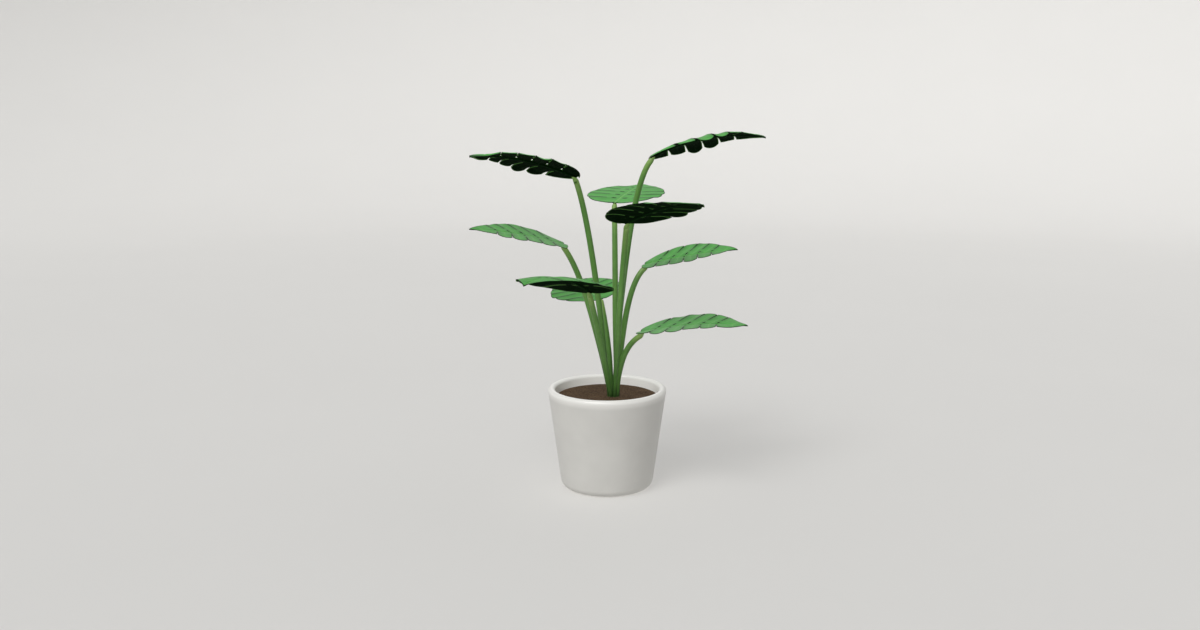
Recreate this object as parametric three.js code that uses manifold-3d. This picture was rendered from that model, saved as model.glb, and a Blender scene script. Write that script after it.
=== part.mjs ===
// Potted monstera deliciosa: a tapered glazed pot full of soil, nine leaf stalks and nine split blades.
// Millimetres, +Z up. The origin is the middle of the pot's flat base, and the front faces -Y.

import * as THREE from 'three';
import { mergeVertices } from 'three/addons/utils/BufferGeometryUtils.js';
import Module from 'manifold-3d';

// Clearance kept between pieces that rest in or on each other.
const SEAT_GAP = 0.3;

// The pot: one thick wall that flares upwards and ends in a full-round lip.
const POT = {
  height: 207.5,
  baseRadius: 92.8,
  taperDegrees: 7.77,
  lipRadius: 7.3,
  footRound: 18,
  floorThickness: 14,
  innerRound: 16,
  segments: 40,
};

// Three drainage holes round the middle of the floor.
const DRAIN = { count: 3, radius: 4.5, ringRadius: 34, sides: 16 };

// The soil fills the pot to a level below the lip, with shallow lumps on top that fade out round the clump.
const SOIL = {
  level: 188,
  edgeDrop: 1.5,
  lump: 1.1,
  fadeStart: 20,
  fadeEnd: 40,
  ringShares: [0.86, 0.66, 0.45, 0.22],
};

// The leaf stalks come up together, eight in a ring round the middle one.
const CLUMP = { x: 13, y: 1, ringRadius: 9.6, firstAngle: -75, holeDepth: 36, straightAboveSoil: 2 };
const STALK = { footRadius: 3.5, middleRadius: 5.9, tipRadius: 5.5, swellShare: 0.38, sides: 8, steps: 9 };

// One blade, laid flat: length, greatest half width and where it is, and how far it reaches behind the stalk.
const BLADE = { length: 232, halfWidth: 83, widestShare: 0.4, behindStalk: 4, thickness: 1.2 };

// The side veins lean forwards from the midrib, more so towards the tip; the first one points backwards.
const VEIN = { angle: 79, fan: 14, fanCentre: 0.3, baseAngle: 104 };

// Where the splits meet the midrib, as shares of its length; the first and last value are its ends.
const SPLITS = [0, 0.16, 0.3, 0.44, 0.58, 0.72, 1];
const COLUMNS = [4, 4, 4, 4, 4, 4];

// Rows from the midrib to the edge, as shares of a side vein, with a small hole and a split on them.
const ROWS = [0, 0.08, 0.16, 0.24, 0.36, 0.7, 1];
const HOLE = { row: 2, halfWidth: 2 };
const SPLIT_HALF_WIDTHS = [0, 0, 0, 0, 0, 0.9, 2];

// Relief of the blade: cupped lobes with rounded ends that vary a little, and a raised rib underneath.
const RELIEF = { cup: 2, cupShare: 0.35, lobeRound: 0.07, lobeVariety: 0.03, lobeDroop: 2.5 };
const RIB = { baseDepth: 2.2, tipDepth: 0.6 };

// The nine leaves from the highest to the lowest. tip is the stalk's top; ring is its place in the clump, or
// null for the middle; lean and climb place the bend of the stalk.
const STALKS = [
  { tip: [83, -25, 671], ring: null, lean: 0.375, climb: 0.88 },
  { tip: [-61, -27, 633], ring: 6, lean: 0.5, climb: 0.78 },
  { tip: [15, 75, 575.5], ring: 3, lean: 0.4, climb: 0.66 },
  { tip: [36.5, -56, 546], ring: 0, lean: 0.475, climb: 0.63 },
  { tip: [-86.5, 12, 498], ring: 5, lean: 0.475, climb: 0.78 },
  { tip: [76, 29, 454.5], ring: 2, lean: 0.175, climb: 0.87 },
  { tip: [-34, -48, 409], ring: 7, lean: 0.575, climb: 0.63 },
  { tip: [-12, 48, 381], ring: 4, lean: 0.35, climb: 0.66 },
  { tip: [66, -31, 327.5], ring: 1, lean: 0.01, climb: 0.75 },
];

// How each blade lies, in degrees: turned about +Z, risen at the stalk, arched along the midrib, rolled
// about it and folded along it. droop is how far the edges hang, as a share of the half width.
const BLADES = [
  { turn: 8, rise: 28, arch: 37, roll: -11, fold: 6, droop: 0.2, size: 1.01 },
  { turn: 200, rise: 24.5, arch: 25.5, roll: 11, fold: 5.5, droop: 0.1, size: 0.95 },
  { turn: 73, rise: 10, arch: 8, roll: 0, fold: 2, droop: 0.03, size: 0.98 },
  { turn: 302.5, rise: 22.5, arch: 19.5, roll: -5.5, fold: 7, droop: 0.1, size: 1.05 },
  { turn: 206, rise: 17.5, arch: 13, roll: -9, fold: 4, droop: 0.03, size: 0.87 },
  { turn: -21, rise: 16, arch: 9, roll: 9.5, fold: 6, droop: 0.03, size: 0.84 },
  { turn: 240.5, rise: 31, arch: 42, roll: 3, fold: 3, droop: 0.19, size: 1.09 },
  { turn: 115, rise: 7, arch: 9, roll: -11, fold: 3, droop: 0.03, size: 0.88 },
  { turn: -24, rise: 16, arch: 16.5, roll: 2.5, fold: 6, droop: 0.03, size: 0.96 },
];
const LEAVES = STALKS.map((stalk, i) => ({ ...stalk, ...BLADES[i] }));

// Finishes.
const MATERIALS = {
  pot: { color: '#d8d5cf', roughness: 0.35, metalness: 0 },
  soil: { color: '#544639', roughness: 0.95, metalness: 0 },
  stalk: { color: '#5f8f3e', roughness: 0.5, metalness: 0 },
  blade: { color: '#5fa95a', roughness: 0.45, metalness: 0, side: THREE.DoubleSide },
};

const { degToRad, lerp, smoothstep } = THREE.MathUtils;
const wasm = await Module();
wasm.setup();

// A closed solid for joining and cutting, with shared vertices merged.
function solidOf(geometry) {
  const bare = geometry.clone();
  bare.deleteAttribute('normal');
  bare.deleteAttribute('uv');
  const merged = mergeVertices(bare, 1e-3);
  return new wasm.Manifold(
    new wasm.Mesh({
      numProp: 3,
      vertProperties: merged.attributes.position.array,
      triVerts: new Uint32Array(merged.index.array),
    }),
  );
}

function geometryOf(solid) {
  const mesh = solid.getMesh();
  const geometry = new THREE.BufferGeometry();
  geometry.setAttribute('position', new THREE.BufferAttribute(mesh.vertProperties, 3));
  geometry.setIndex(new THREE.BufferAttribute(mesh.triVerts, 1));
  geometry.computeVertexNormals();
  return geometry;
}

// Points of a circular arc, in degrees anticlockwise from +X.
function arc(centreX, centreY, radius, from, to, steps) {
  const points = [];
  for (let i = 0; i <= steps; i += 1) {
    const angle = degToRad(lerp(from, to, i / steps));
    points.push(new THREE.Vector2(centreX + radius * Math.cos(angle), centreY + radius * Math.sin(angle)));
  }
  return points;
}

// A profile of radius and height, turned round the Z axis.
function turned(profile, segments) {
  return new THREE.LatheGeometry(profile, segments).rotateX(Math.PI / 2);
}

// Radius of the pot's tapered faces at a height, measured inwards from the outer face.
const TAPER = degToRad(POT.taperDegrees);
function wallRadius(height, inwards) {
  return POT.baseRadius + height * Math.tan(TAPER) - inwards / Math.cos(TAPER);
}

// The pot: foot, outer wall, lip, inner wall and floor in one closed profile, then the drainage holes.
function potGeometry() {
  const wall = 2 * POT.lipRadius;
  const lipHeight = POT.height - POT.lipRadius;
  const innerHeight = POT.floorThickness + POT.innerRound;
  const footX = wallRadius(POT.footRound, POT.footRound);
  const lipX = wallRadius(lipHeight, POT.lipRadius);
  const innerX = wallRadius(innerHeight, wall + POT.innerRound);
  const profile = [
    new THREE.Vector2(0, 0),
    ...arc(footX, POT.footRound, POT.footRound, -90, -POT.taperDegrees, 5),
    ...arc(lipX, lipHeight, POT.lipRadius, -POT.taperDegrees, 180 - POT.taperDegrees, 8),
    ...arc(innerX, innerHeight, POT.innerRound, -POT.taperDegrees, -90, 3),
    new THREE.Vector2(0, POT.floorThickness),
  ];
  let solid = solidOf(turned(profile, POT.segments));
  for (let i = 0; i < DRAIN.count; i += 1) {
    const angle = (2 * Math.PI * i) / DRAIN.count;
    const drill = new THREE.CylinderGeometry(DRAIN.radius, DRAIN.radius, 3 * POT.floorThickness, DRAIN.sides);
    drill.rotateX(Math.PI / 2);
    drill.translate(DRAIN.ringRadius * Math.cos(angle), DRAIN.ringRadius * Math.sin(angle), 0);
    solid = solid.subtract(solidOf(drill));
  }
  return geometryOf(solid);
}

// Where a stalk stands in the clump.
function stalkFoot(leaf) {
  if (leaf.ring === null) {
    return new THREE.Vector3(CLUMP.x, CLUMP.y, SOIL.level);
  }
  const places = LEAVES.length - 1;
  const angle = degToRad(CLUMP.firstAngle + (360 * leaf.ring) / places);
  return new THREE.Vector3(
    CLUMP.x + CLUMP.ringRadius * Math.cos(angle),
    CLUMP.y + CLUMP.ringRadius * Math.sin(angle),
    SOIL.level,
  );
}

// Shallow lumps of the soil's surface, level round the clump.
function soilLump(x, y) {
  const away = smoothstep(Math.hypot(x - CLUMP.x, y - CLUMP.y), SOIL.fadeStart, SOIL.fadeEnd);
  const swell = Math.sin(0.09 * x + 0.05 * y) * Math.cos(0.07 * y - 0.04 * x);
  return SOIL.lump * away * (swell + 0.4 * Math.sin(0.21 * x));
}

// The soil: it fills the inside of the pot, and each stalk has a plain hole in it.
function soilGeometry() {
  const inwards = 2 * POT.lipRadius + SEAT_GAP;
  const round = POT.innerRound - SEAT_GAP;
  const innerHeight = POT.floorThickness + POT.innerRound;
  const rimRadius = wallRadius(SOIL.level - SOIL.edgeDrop, inwards);
  const profile = [
    new THREE.Vector2(0, POT.floorThickness + SEAT_GAP),
    ...arc(wallRadius(innerHeight, inwards + round), innerHeight, round, -90, -POT.taperDegrees, 3),
    new THREE.Vector2(rimRadius, SOIL.level - SOIL.edgeDrop),
    ...SOIL.ringShares.map((share) => new THREE.Vector2(share * rimRadius, SOIL.level)),
    new THREE.Vector2(0, SOIL.level),
  ];
  const body = turned(profile, POT.segments);
  const position = body.attributes.position;
  for (let i = 0; i < position.count; i += 1) {
    if (position.getZ(i) > SOIL.level - SOIL.edgeDrop / 2) {
      position.setZ(i, position.getZ(i) + soilLump(position.getX(i), position.getY(i)));
    }
  }
  let solid = solidOf(body);
  for (const leaf of LEAVES) {
    const foot = stalkFoot(leaf);
    const radius = (STALK.footRadius + SEAT_GAP) / Math.cos(Math.PI / STALK.sides);
    const drill = new THREE.CylinderGeometry(radius, radius, 2 * (CLUMP.holeDepth + SEAT_GAP), STALK.sides);
    drill.rotateX(Math.PI / 2);
    drill.translate(foot.x, foot.y, SOIL.level);
    solid = solid.subtract(solidOf(drill));
  }
  return geometryOf(solid);
}

// Steady variety from -1 to 1 for each leaf, side and lobe.
function variety(leafIndex, side, lobe) {
  return Math.sin(7.3 * leafIndex + 3.1 * side + 1.7 * lobe + 0.6);
}

// Half width of a flat blade of unit size at a distance x along the midrib.
function halfWidth(x) {
  const along = (x + BLADE.behindStalk) / (BLADE.length + BLADE.behindStalk);
  const widest = (BLADE.widestShare * BLADE.length + BLADE.behindStalk) / (BLADE.length + BLADE.behindStalk);
  if (along <= 0 || along >= 1) {
    return 0;
  }
  if (along < widest) {
    return BLADE.halfWidth * Math.sqrt(1 - ((widest - along) / widest) ** 2);
  }
  return BLADE.halfWidth * Math.cos((0.5 * Math.PI * (along - widest)) / (1 - widest));
}

// Angle between the midrib and the side vein that starts at a share of its length.
function veinAngle(share, lobe, across) {
  const fanned = VEIN.angle + VEIN.fan * (VEIN.fanCentre - share);
  return degToRad(lobe === 0 ? lerp(VEIN.baseAngle, fanned, across) : fanned);
}

// Length of a side vein from the midrib to the edge of the blade, found by halving.
function veinLength(share, angle) {
  let inside = 0;
  let outside = 2 * BLADE.halfWidth;
  for (let i = 0; i < 30; i += 1) {
    const middle = (inside + outside) / 2;
    const x = share * BLADE.length + middle * Math.cos(angle);
    if (middle * Math.sin(angle) < halfWidth(x)) {
      inside = middle;
    } else {
      outside = middle;
    }
  }
  return inside;
}

// One point of the blade's middle surface in the blade's own frame: X along the midrib from the stalk, Y to
// the left, Z up. across runs from 0 to 1 over the lobe, and opening is the half width of a hole or split.
function bladePoint(leaf, leafIndex, side, lobe, across, row, opening) {
  const share = lerp(SPLITS[lobe], SPLITS[lobe + 1], across);
  const angle = veinAngle(share, lobe, across);
  const joined = (across === 0 || across === 1) && opening === 0;
  const character = joined ? 0 : variety(leafIndex, side, lobe);
  const fullLength = veinLength(share, angle) * (1 + RELIEF.lobeVariety * character);
  const atSplit = Math.abs(2 * across - 1);
  const atBase = lobe === 0 && across < 0.5;
  const atTip = lobe === SPLITS.length - 2 && across > 0.5;
  const rounded = atBase || atTip ? 0 : atSplit ** 3;
  const edge = ROWS[row] === 1 ? 1 - RELIEF.lobeRound * rounded : 1;
  const reach = ROWS[row] * edge * fullLength;
  const towards = across < 0.5 ? 1 : -1;
  const x = share * BLADE.length + reach * Math.cos(angle) + towards * opening * Math.sin(angle);
  const y = reach * Math.sin(angle) - towards * opening * Math.cos(angle);
  const lobeCup = RELIEF.cup * (1 - atSplit ** 2) * Math.min(1, reach / (RELIEF.cupShare * BLADE.halfWidth));
  const droop = RELIEF.lobeDroop * character * ROWS[row] ** 2 * (1 - atSplit ** 2);
  const z = y * Math.sin(degToRad(leaf.fold)) - (leaf.droop * y * y) / BLADE.halfWidth - lobeCup - droop;
  return { x, y: side * y, z, share };
}

// A flat point laid on the arched midrib, lifted by an offset along the blade's own upward direction.
function archedPoint(leaf, point, offset) {
  const total = degToRad(leaf.arch);
  const along = Math.max(point.x, 0) / BLADE.length;
  const bend = total * along;
  const radius = BLADE.length / total;
  const lift = point.z + offset;
  return new THREE.Vector3(
    radius * Math.sin(bend) + Math.min(point.x, 0) + lift * Math.sin(bend),
    point.y,
    -radius * (1 - Math.cos(bend)) + lift * Math.cos(bend),
  ).multiplyScalar(leaf.size);
}

// A blade: its upper and lower face have the same triangles, and a narrow wall closes every edge.
function bladeGeometry(leaf, leafIndex) {
  const points = [];
  const known = new Map();
  const faces = [];
  const last = SPLITS.length - 2;

  function vertex(side, lobe, column, row) {
    const columns = COLUMNS[lobe];
    const across = column / columns;
    const onSplit = (column === 0 && lobe > 0) || (column === columns && lobe < last);
    const isTip = lobe === last && column === columns;
    let opening = 0;
    if (onSplit) {
      opening = row === HOLE.row ? HOLE.halfWidth : SPLIT_HALF_WIDTHS[row];
    }
    const place = onSplit && opening === 0 ? `split ${lobe + across}` : `${lobe}/${column}`;
    let key = `${side}/${place}/${row}`;
    if (row === 0) {
      key = `midrib ${place}`;
    }
    if (isTip) {
      key = 'tip';
    }
    if (!known.has(key)) {
      known.set(key, points.length);
      const onMidrib = row === 0 || isTip;
      const lobeSide = onMidrib ? 1 : side;
      const point = bladePoint(leaf, leafIndex, lobeSide, lobe, across, onMidrib ? 0 : row, opening);
      const ribDepth = onMidrib ? lerp(RIB.baseDepth, RIB.tipDepth, point.share) : 0;
      points.push({ point, ribDepth });
    }
    return known.get(key);
  }

  function face(side, a, b, c) {
    if (a !== b && b !== c && c !== a) {
      faces.push(side > 0 ? [a, b, c] : [a, c, b]);
    }
  }

  for (const side of [1, -1]) {
    for (let lobe = 0; lobe <= last; lobe += 1) {
      for (let column = 0; column < COLUMNS[lobe]; column += 1) {
        for (let row = 0; row < ROWS.length - 1; row += 1) {
          const nearStart = vertex(side, lobe, column, row);
          const nearEnd = vertex(side, lobe, column + 1, row);
          const farEnd = vertex(side, lobe, column + 1, row + 1);
          const farStart = vertex(side, lobe, column, row + 1);
          face(side, nearStart, nearEnd, farEnd);
          face(side, nearStart, farEnd, farStart);
        }
      }
    }
  }

  const vertices = [];
  for (const { point } of points) {
    vertices.push(...archedPoint(leaf, point, BLADE.thickness / 2));
  }
  for (const { point, ribDepth } of points) {
    vertices.push(...archedPoint(leaf, point, -BLADE.thickness / 2 - ribDepth));
  }
  const count = points.length;
  const index = [];
  const edges = new Set(faces.flatMap(([a, b, c]) => [`${a}>${b}`, `${b}>${c}`, `${c}>${a}`]));
  for (const [a, b, c] of faces) {
    index.push(a, b, c, a + count, c + count, b + count);
    for (const [from, to] of [[a, b], [b, c], [c, a]]) {
      if (!edges.has(`${to}>${from}`)) {
        index.push(from, from + count, to + count, from, to + count, to);
      }
    }
  }
  const geometry = new THREE.BufferGeometry();
  geometry.setAttribute('position', new THREE.Float32BufferAttribute(vertices, 3));
  geometry.setIndex(index);
  geometry.computeVertexNormals();
  return geometry;
}

// The turn of a blade: rolled about its midrib, raised at the tip, then turned to its direction.
function bladeTurn(leaf) {
  return new THREE.Euler(degToRad(leaf.roll), -degToRad(leaf.rise), degToRad(leaf.turn), 'ZYX');
}

// A stalk's path: straight up out of its hole, then one even bend. The middle of its round end lies right
// under the blade's joint, and the end just clears the corner where the blade's rib begins.
function stalkPath(leaf) {
  const foot = stalkFoot(leaf);
  const start = foot.clone().setZ(SOIL.level + CLUMP.straightAboveSoil);
  const underside = (BLADE.thickness / 2 + RIB.baseDepth) * leaf.size;
  const cornerAside = underside * Math.sin(degToRad(leaf.rise));
  const cornerDrop = underside * Math.cos(degToRad(leaf.rise));
  const endCentre = new THREE.Vector3(...leaf.tip);
  endCentre.z -= cornerDrop + Math.sqrt((STALK.tipRadius + SEAT_GAP) ** 2 - cornerAside ** 2);
  const bend = new THREE.Vector3(
    lerp(start.x, endCentre.x, leaf.lean),
    lerp(start.y, endCentre.y, leaf.lean),
    lerp(start.z, endCentre.z, leaf.climb),
  );
  const direction = endCentre.clone().sub(bend).normalize();
  const top = endCentre.clone().addScaledVector(direction, STALK.tipRadius);
  const path = new THREE.CurvePath();
  path.add(new THREE.LineCurve3(foot.clone().setZ(SOIL.level - CLUMP.holeDepth), start));
  path.add(new THREE.QuadraticBezierCurve3(start, bend, top));
  return path;
}

// Thickness of a stalk at a share of its length above the soil.
function stalkRadius(share) {
  const swollen = lerp(STALK.footRadius, STALK.middleRadius, smoothstep(share, 0, STALK.swellShare));
  return lerp(swollen, STALK.tipRadius, smoothstep(share, STALK.swellShare, 1));
}

// A stalk: turned straight with a round end, then bent along its path.
function stalkGeometry(leaf) {
  const path = stalkPath(leaf);
  const length = path.getLength();
  const buried = CLUMP.holeDepth + CLUMP.straightAboveSoil;
  const roundStart = length - STALK.tipRadius;
  const profile = [new THREE.Vector2(0, 0), new THREE.Vector2(STALK.footRadius, 0)];
  for (let i = 0; i < STALK.steps; i += 1) {
    const share = i / STALK.steps;
    profile.push(new THREE.Vector2(stalkRadius(share), lerp(buried, roundStart, share)));
  }
  profile.push(...arc(0, roundStart, STALK.tipRadius, 0, 90, 3));
  profile[profile.length - 1].x = 0;
  const geometry = new THREE.LatheGeometry(profile, STALK.sides);
  const position = geometry.attributes.position;
  const outwards = new THREE.Vector3();
  const sideways = new THREE.Vector3();
  for (let i = 0; i < position.count; i += 1) {
    const share = Math.min(position.getY(i) / length, 1);
    const centre = path.getPointAt(share);
    const tangent = path.getTangentAt(share);
    outwards.set(1, 0, 0).addScaledVector(tangent, -tangent.x).normalize();
    sideways.crossVectors(outwards, tangent);
    centre.addScaledVector(outwards, position.getX(i)).addScaledVector(sideways, position.getZ(i));
    position.setXYZ(i, centre.x, centre.y, centre.z);
  }
  geometry.computeVertexNormals();
  return geometry;
}

function addMesh(group, name, geometry, material) {
  const mesh = new THREE.Mesh(geometry, new THREE.MeshStandardMaterial(material));
  mesh.name = name;
  group.add(mesh);
  return mesh;
}

const plant = new THREE.Group();
addMesh(plant, 'pot', potGeometry(), MATERIALS.pot);
addMesh(plant, 'soil', soilGeometry(), MATERIALS.soil);
LEAVES.forEach((leaf, i) => {
  const number = String(i + 1).padStart(2, '0');
  addMesh(plant, `petiole_${number}`, stalkGeometry(leaf), MATERIALS.stalk);
  const blade = addMesh(plant, `leaf_${number}`, bladeGeometry(leaf, i), MATERIALS.blade);
  blade.position.set(...leaf.tip);
  blade.rotation.copy(bladeTurn(leaf));
});

export default plant;
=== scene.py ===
"""Looks of a potted monstera deliciosa: a glazed pot of soil, nine leaf stalks and nine split blades."""

import math
from collections import namedtuple
from functools import partial

import bmesh
import bpy
from bpy.props import FloatProperty, FloatVectorProperty, IntProperty, PointerProperty
from mathutils import Matrix, Vector, noise


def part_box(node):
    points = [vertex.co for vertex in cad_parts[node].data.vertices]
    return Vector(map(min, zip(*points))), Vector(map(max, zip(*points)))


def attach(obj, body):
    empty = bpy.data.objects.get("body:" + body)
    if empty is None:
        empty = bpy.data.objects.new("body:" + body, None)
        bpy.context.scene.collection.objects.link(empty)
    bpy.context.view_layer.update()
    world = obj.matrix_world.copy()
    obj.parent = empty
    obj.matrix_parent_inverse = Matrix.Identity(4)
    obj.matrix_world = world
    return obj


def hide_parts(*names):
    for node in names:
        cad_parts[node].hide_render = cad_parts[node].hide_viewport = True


bl_info = {
    "name": "Potted monstera deliciosa",
    "version": (1, 0, 0),
    "blender": (4, 5, 0),
    "location": "View3D > Sidebar > Monstera",
    "description": "Builds a potted monstera deliciosa round its packed solid model",
    "category": "Object",
}

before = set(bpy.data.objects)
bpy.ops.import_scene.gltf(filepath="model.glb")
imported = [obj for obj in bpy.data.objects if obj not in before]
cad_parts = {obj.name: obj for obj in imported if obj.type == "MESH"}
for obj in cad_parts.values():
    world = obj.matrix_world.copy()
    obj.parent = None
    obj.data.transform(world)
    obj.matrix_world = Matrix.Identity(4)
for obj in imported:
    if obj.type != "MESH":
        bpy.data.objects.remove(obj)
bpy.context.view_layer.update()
BODY = "root"
MM = 0.001

# Clearance between the pot and the soil, and between a stalk and its blade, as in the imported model.
SEAT_GAP = 0.3 * MM

# The pot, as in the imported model: the slope of its wall, its floor, inner corner and drainage holes.
POT_TAPER = math.radians(7.77)
POT_FLOOR = 14 * MM
POT_INNER_ROUND = 16 * MM
DRAIN_RING = 34 * MM
DRAIN_RADIUS = 4.5 * MM
DRAIN_COUNT = 3

# Steps in the arcs of the pot's foot, lip and inner corner and of the soil's lower edge, and the sides of a
# drainage hole.
FOOT_STEPS = 14
LIP_STEPS = 20
CORNER_STEPS = 8
SOIL_EDGE_STEPS = 5
DRAIN_SIDES = 32

# The soil's surface: its faces across and round, and how it stays off the wall, dips and calms down
# beside it. Round the clump of stalks its lumps rise from nothing to full height between two distances
# from the clump's middle, in millimetres.
SOIL_RINGS = 70
SOIL_SEGMENTS = 220
SOIL_WALL_GAP = 0.2 * MM
SOIL_DIP_WIDTH = 14 * MM
SOIL_DIP = 0.6 * MM
SOIL_CALM = 0.8
LEVEL_MARGIN = 0.1 * MM
LUMPS_START = 20
LUMPS_FULL = 40

# Crumbs on the soil: their size and the height at which their noise is cut, both in millimetres, and the
# roughness, shrinkage and number of its layers.
CRUMB_SIZE = 5.5
CRUMB_SLICE = 4.0
CRUMB_ROUGHNESS = 0.9
CRUMB_SHRINKAGE = 2.1
CRUMB_LAYERS = 4

# The clump of stalks, which stand in the soil in a ring of eight round the middle one.
CLUMP_CENTRE = Vector((13 * MM, 1 * MM, 188 * MM))
CLUMP_RING = 9.6 * MM
CLUMP_FIRST = -75
CLUMP_DEPTH = 36 * MM
STRAIGHT_ABOVE_SOIL = 2 * MM

# Where the splits meet the midrib, as shares of its length.
SPLITS = (0, 0.16, 0.3, 0.44, 0.58, 0.72, 1)

# Along a side vein, in shares of its length: a small hole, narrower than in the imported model, and then
# a split that widens in two steps.
HOLE_START = 0.08
HOLE_END = 0.24
HOLE_HALF_WIDTH = 1.3 * MM
SPLIT_START = 0.36
SPLIT_MIDDLE = 0.7
SPLIT_HALF_WIDTHS = (0.9 * MM, 2 * MM)

# Side veins: their angle from the midrib at the middle of the fan, and how it changes along the midrib.
VEIN_ANGLE = 79
VEIN_FAN = 14
VEIN_FAN_CENTRE = 0.3
VEIN_BASE_ANGLE = 104

# Relief of a blade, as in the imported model: cupped lobes with rounded ends, unlike in length and droop,
# and a rib under the midrib.
CUP = 2 * MM
CUP_REACH = 0.35
LOBE_ROUND = 0.07
LOBE_VARIETY = 0.03
LOBE_DROOP = 2.5 * MM
RIB_BASE_DEPTH = 2.2 * MM
RIB_TIP_DEPTH = 0.6 * MM

# Finer relief: grooves over the veins and ridges under them, and low swells that differ from leaf to
# leaf. Along a side vein, these shares of its length are where the swells are full, the lobe's end starts
# to curl, the vein fades out and the edge gets thinner.
MIDRIB_GROOVE = 0.9 * MM
MIDRIB_GROOVE_WIDTH = 2.2 * MM
RIB_WIDTH = 2.6 * MM
VEIN_GROOVE = 0.5 * MM
VEIN_GROOVE_WIDTH = 1.6 * MM
VEIN_RIDGE = 0.7 * MM
VEIN_RIDGE_WIDTH = 1.4 * MM
SWELL = 1.2 * MM
SWELLS_PER_METRE = 30
SWELL_STEP = 3.7
SWELL_FULL = 0.3
LOBE_CURL_START = 0.7
VEIN_FADE_START = 0.75
VEIN_FADE_END = 0.97
THIN_EDGE_START = 0.8
THIN_EDGE = 0.9

# The grid of a lobe, whose rows crowd towards the midrib, and the halvings that find the blade's edge. A
# blade's maps are in centimetres, and FAR_FROM_SPLIT stands there for no split nearby.
LOBE_COLUMNS = 20
LOBE_ROWS = 44
ROW_CROWDING = 1.3
HALVINGS = 24
MERGE_DISTANCE = 0.02 * MM
CM_PER_METRE = 100
FAR_FROM_SPLIT = 50 * MM

# A stalk: its faces round and along, the share of its bend where it is thickest, and how it runs on and
# thins out under the midrib of its blade.
STALK_SIDES = 28
BEND_STEPS = 48
JOINT_STEPS = 12
THICKEST_SHARE = 0.38
JOINT_REACH = 12 * MM
JOINT_EASE = 1.2
JOINT_END_DEPTH = 0.4 * RIB_BASE_DEPTH
JOINT_END_RADIUS = 0.5 * RIB_BASE_DEPTH

# Both lights come from the upper left: their angle from straight above, and to the left of the camera.
KEY_FROM_ABOVE = 38
KEY_FROM_LEFT = 29
LIGHT_PLACE = (-1.0, -2.3, 3.2)
LIGHT_COLOUR = (1.0, 0.995, 0.985)
ROOM_COLOUR = (0.96, 0.98, 1.0, 1.0)

# The floor is a disc that sweeps up into a round wall. These are metres.
FLOOR_RADIUS = 5
SWEEP_RADIUS = 4
WALL_HEIGHT = 6
SWEEP_STEPS = 24
FLOOR_SEGMENTS = 128

# The camera, as fitted to the outline of the pot in the photograph.
CAMERA_PLACE = (-0.01453, -2.1786, 0.7534)
CAMERA_TILT = math.radians(79.655)
LENS = 33
SENSOR_WIDTH = 36

# Places of the colours and of their mixture on a Mix node.
MIX_FIRST = 6
MIX_SECOND = 7
MIX_RESULT = 2

# The nine leaves from the highest to the lowest. tip is the top of the stalk in metres, and ring its place
# in the clump, or None for the middle. lean and climb place the bend of the stalk. In degrees, the blade
# is turned about +Z, risen at the stalk, arched along the midrib, rolled about it and folded along it.
# droop is how far its edges hang, as a share of the half width, and curl how far the ends of its lobes
# hang below that. gape is how far it is parted into lobes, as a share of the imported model's: how far its
# splits open, and how cupped, rounded and unlike each other its lobes are.
Leaf = namedtuple("Leaf", "tip ring lean climb turn rise arch roll fold droop size curl gape")
LEAVES = (
    Leaf((0.083, -0.025, 0.671), None, 0.375, 0.88, 8, 28, 37, -11, 6, 0.2, 1.01, 3 * MM, 1),
    Leaf((-0.061, -0.027, 0.633), 6, 0.5, 0.78, 200, 24.5, 25.5, 11, 5.5, 0.1, 0.95, 4 * MM, 1),
    Leaf((0.015, 0.075, 0.5755), 3, 0.4, 0.66, 73, 10, 8, 0, 2, 0.03, 0.98, 0, 0.3),
    Leaf((0.0365, -0.056, 0.546), 0, 0.475, 0.63, 302.5, 22.5, 19.5, -5.5, 7, 0.1, 1.05, 1.5 * MM, 0.6),
    Leaf((-0.0865, 0.012, 0.498), 5, 0.475, 0.78, 206, 17.5, 13, -9, 4, 0.03, 0.87, 0, 0.55),
    Leaf((0.076, 0.029, 0.4545), 2, 0.175, 0.87, -21, 16, 9, 9.5, 6, 0.03, 0.84, 0, 0.55),
    Leaf((-0.034, -0.048, 0.409), 7, 0.575, 0.63, 240.5, 31, 40, 3, 3, 0.18, 1.09, 0, 0.2),
    Leaf((-0.012, 0.048, 0.381), 4, 0.35, 0.66, 115, 7, 9, -11, 3, 0.03, 0.88, 0, 0.4),
    Leaf((0.066, -0.031, 0.3275), 1, 0.01, 0.75, -24, 16, 16.5, 2.5, 6, 0.03, 0.96, 0, 0.65),
)


def linear(hex_colour):
    """Turn an sRGB hex colour into linear red, green, blue and alpha."""
    channels = [int(hex_colour[i : i + 2], 16) / 255 for i in (1, 3, 5)]
    return tuple(c / 12.92 if c <= 0.04045 else ((c + 0.055) / 1.055) ** 2.4 for c in channels) + (1.0,)


def tinted(value, factor):
    """A linear colour made lighter or darker."""
    return tuple(min(c * factor, 1.0) for c in value[:3]) + (1.0,)


def lerp(start, end, share):
    """The value at a share of the way from start to end."""
    return start + (end - start) * share


def smooth_share(value, start, end):
    """How far a value is from start to end, from 0 to 1, eased at both ends."""
    share = min(max((value - start) / (end - start), 0.0), 1.0)
    return share * share * (3 - 2 * share)


def colour(name, description, hex_colour):
    """A colour property that holds linear values."""
    return FloatVectorProperty(
        name=name,
        description=description,
        default=linear(hex_colour),
        size=4,
        subtype="COLOR",
        min=0,
        max=1,
    )


def length(name, description, default):
    """A length property, in metres."""
    return FloatProperty(
        name=name,
        description=description,
        default=default,
        subtype="DISTANCE",
        unit="LENGTH",
        min=0,
    )


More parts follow.
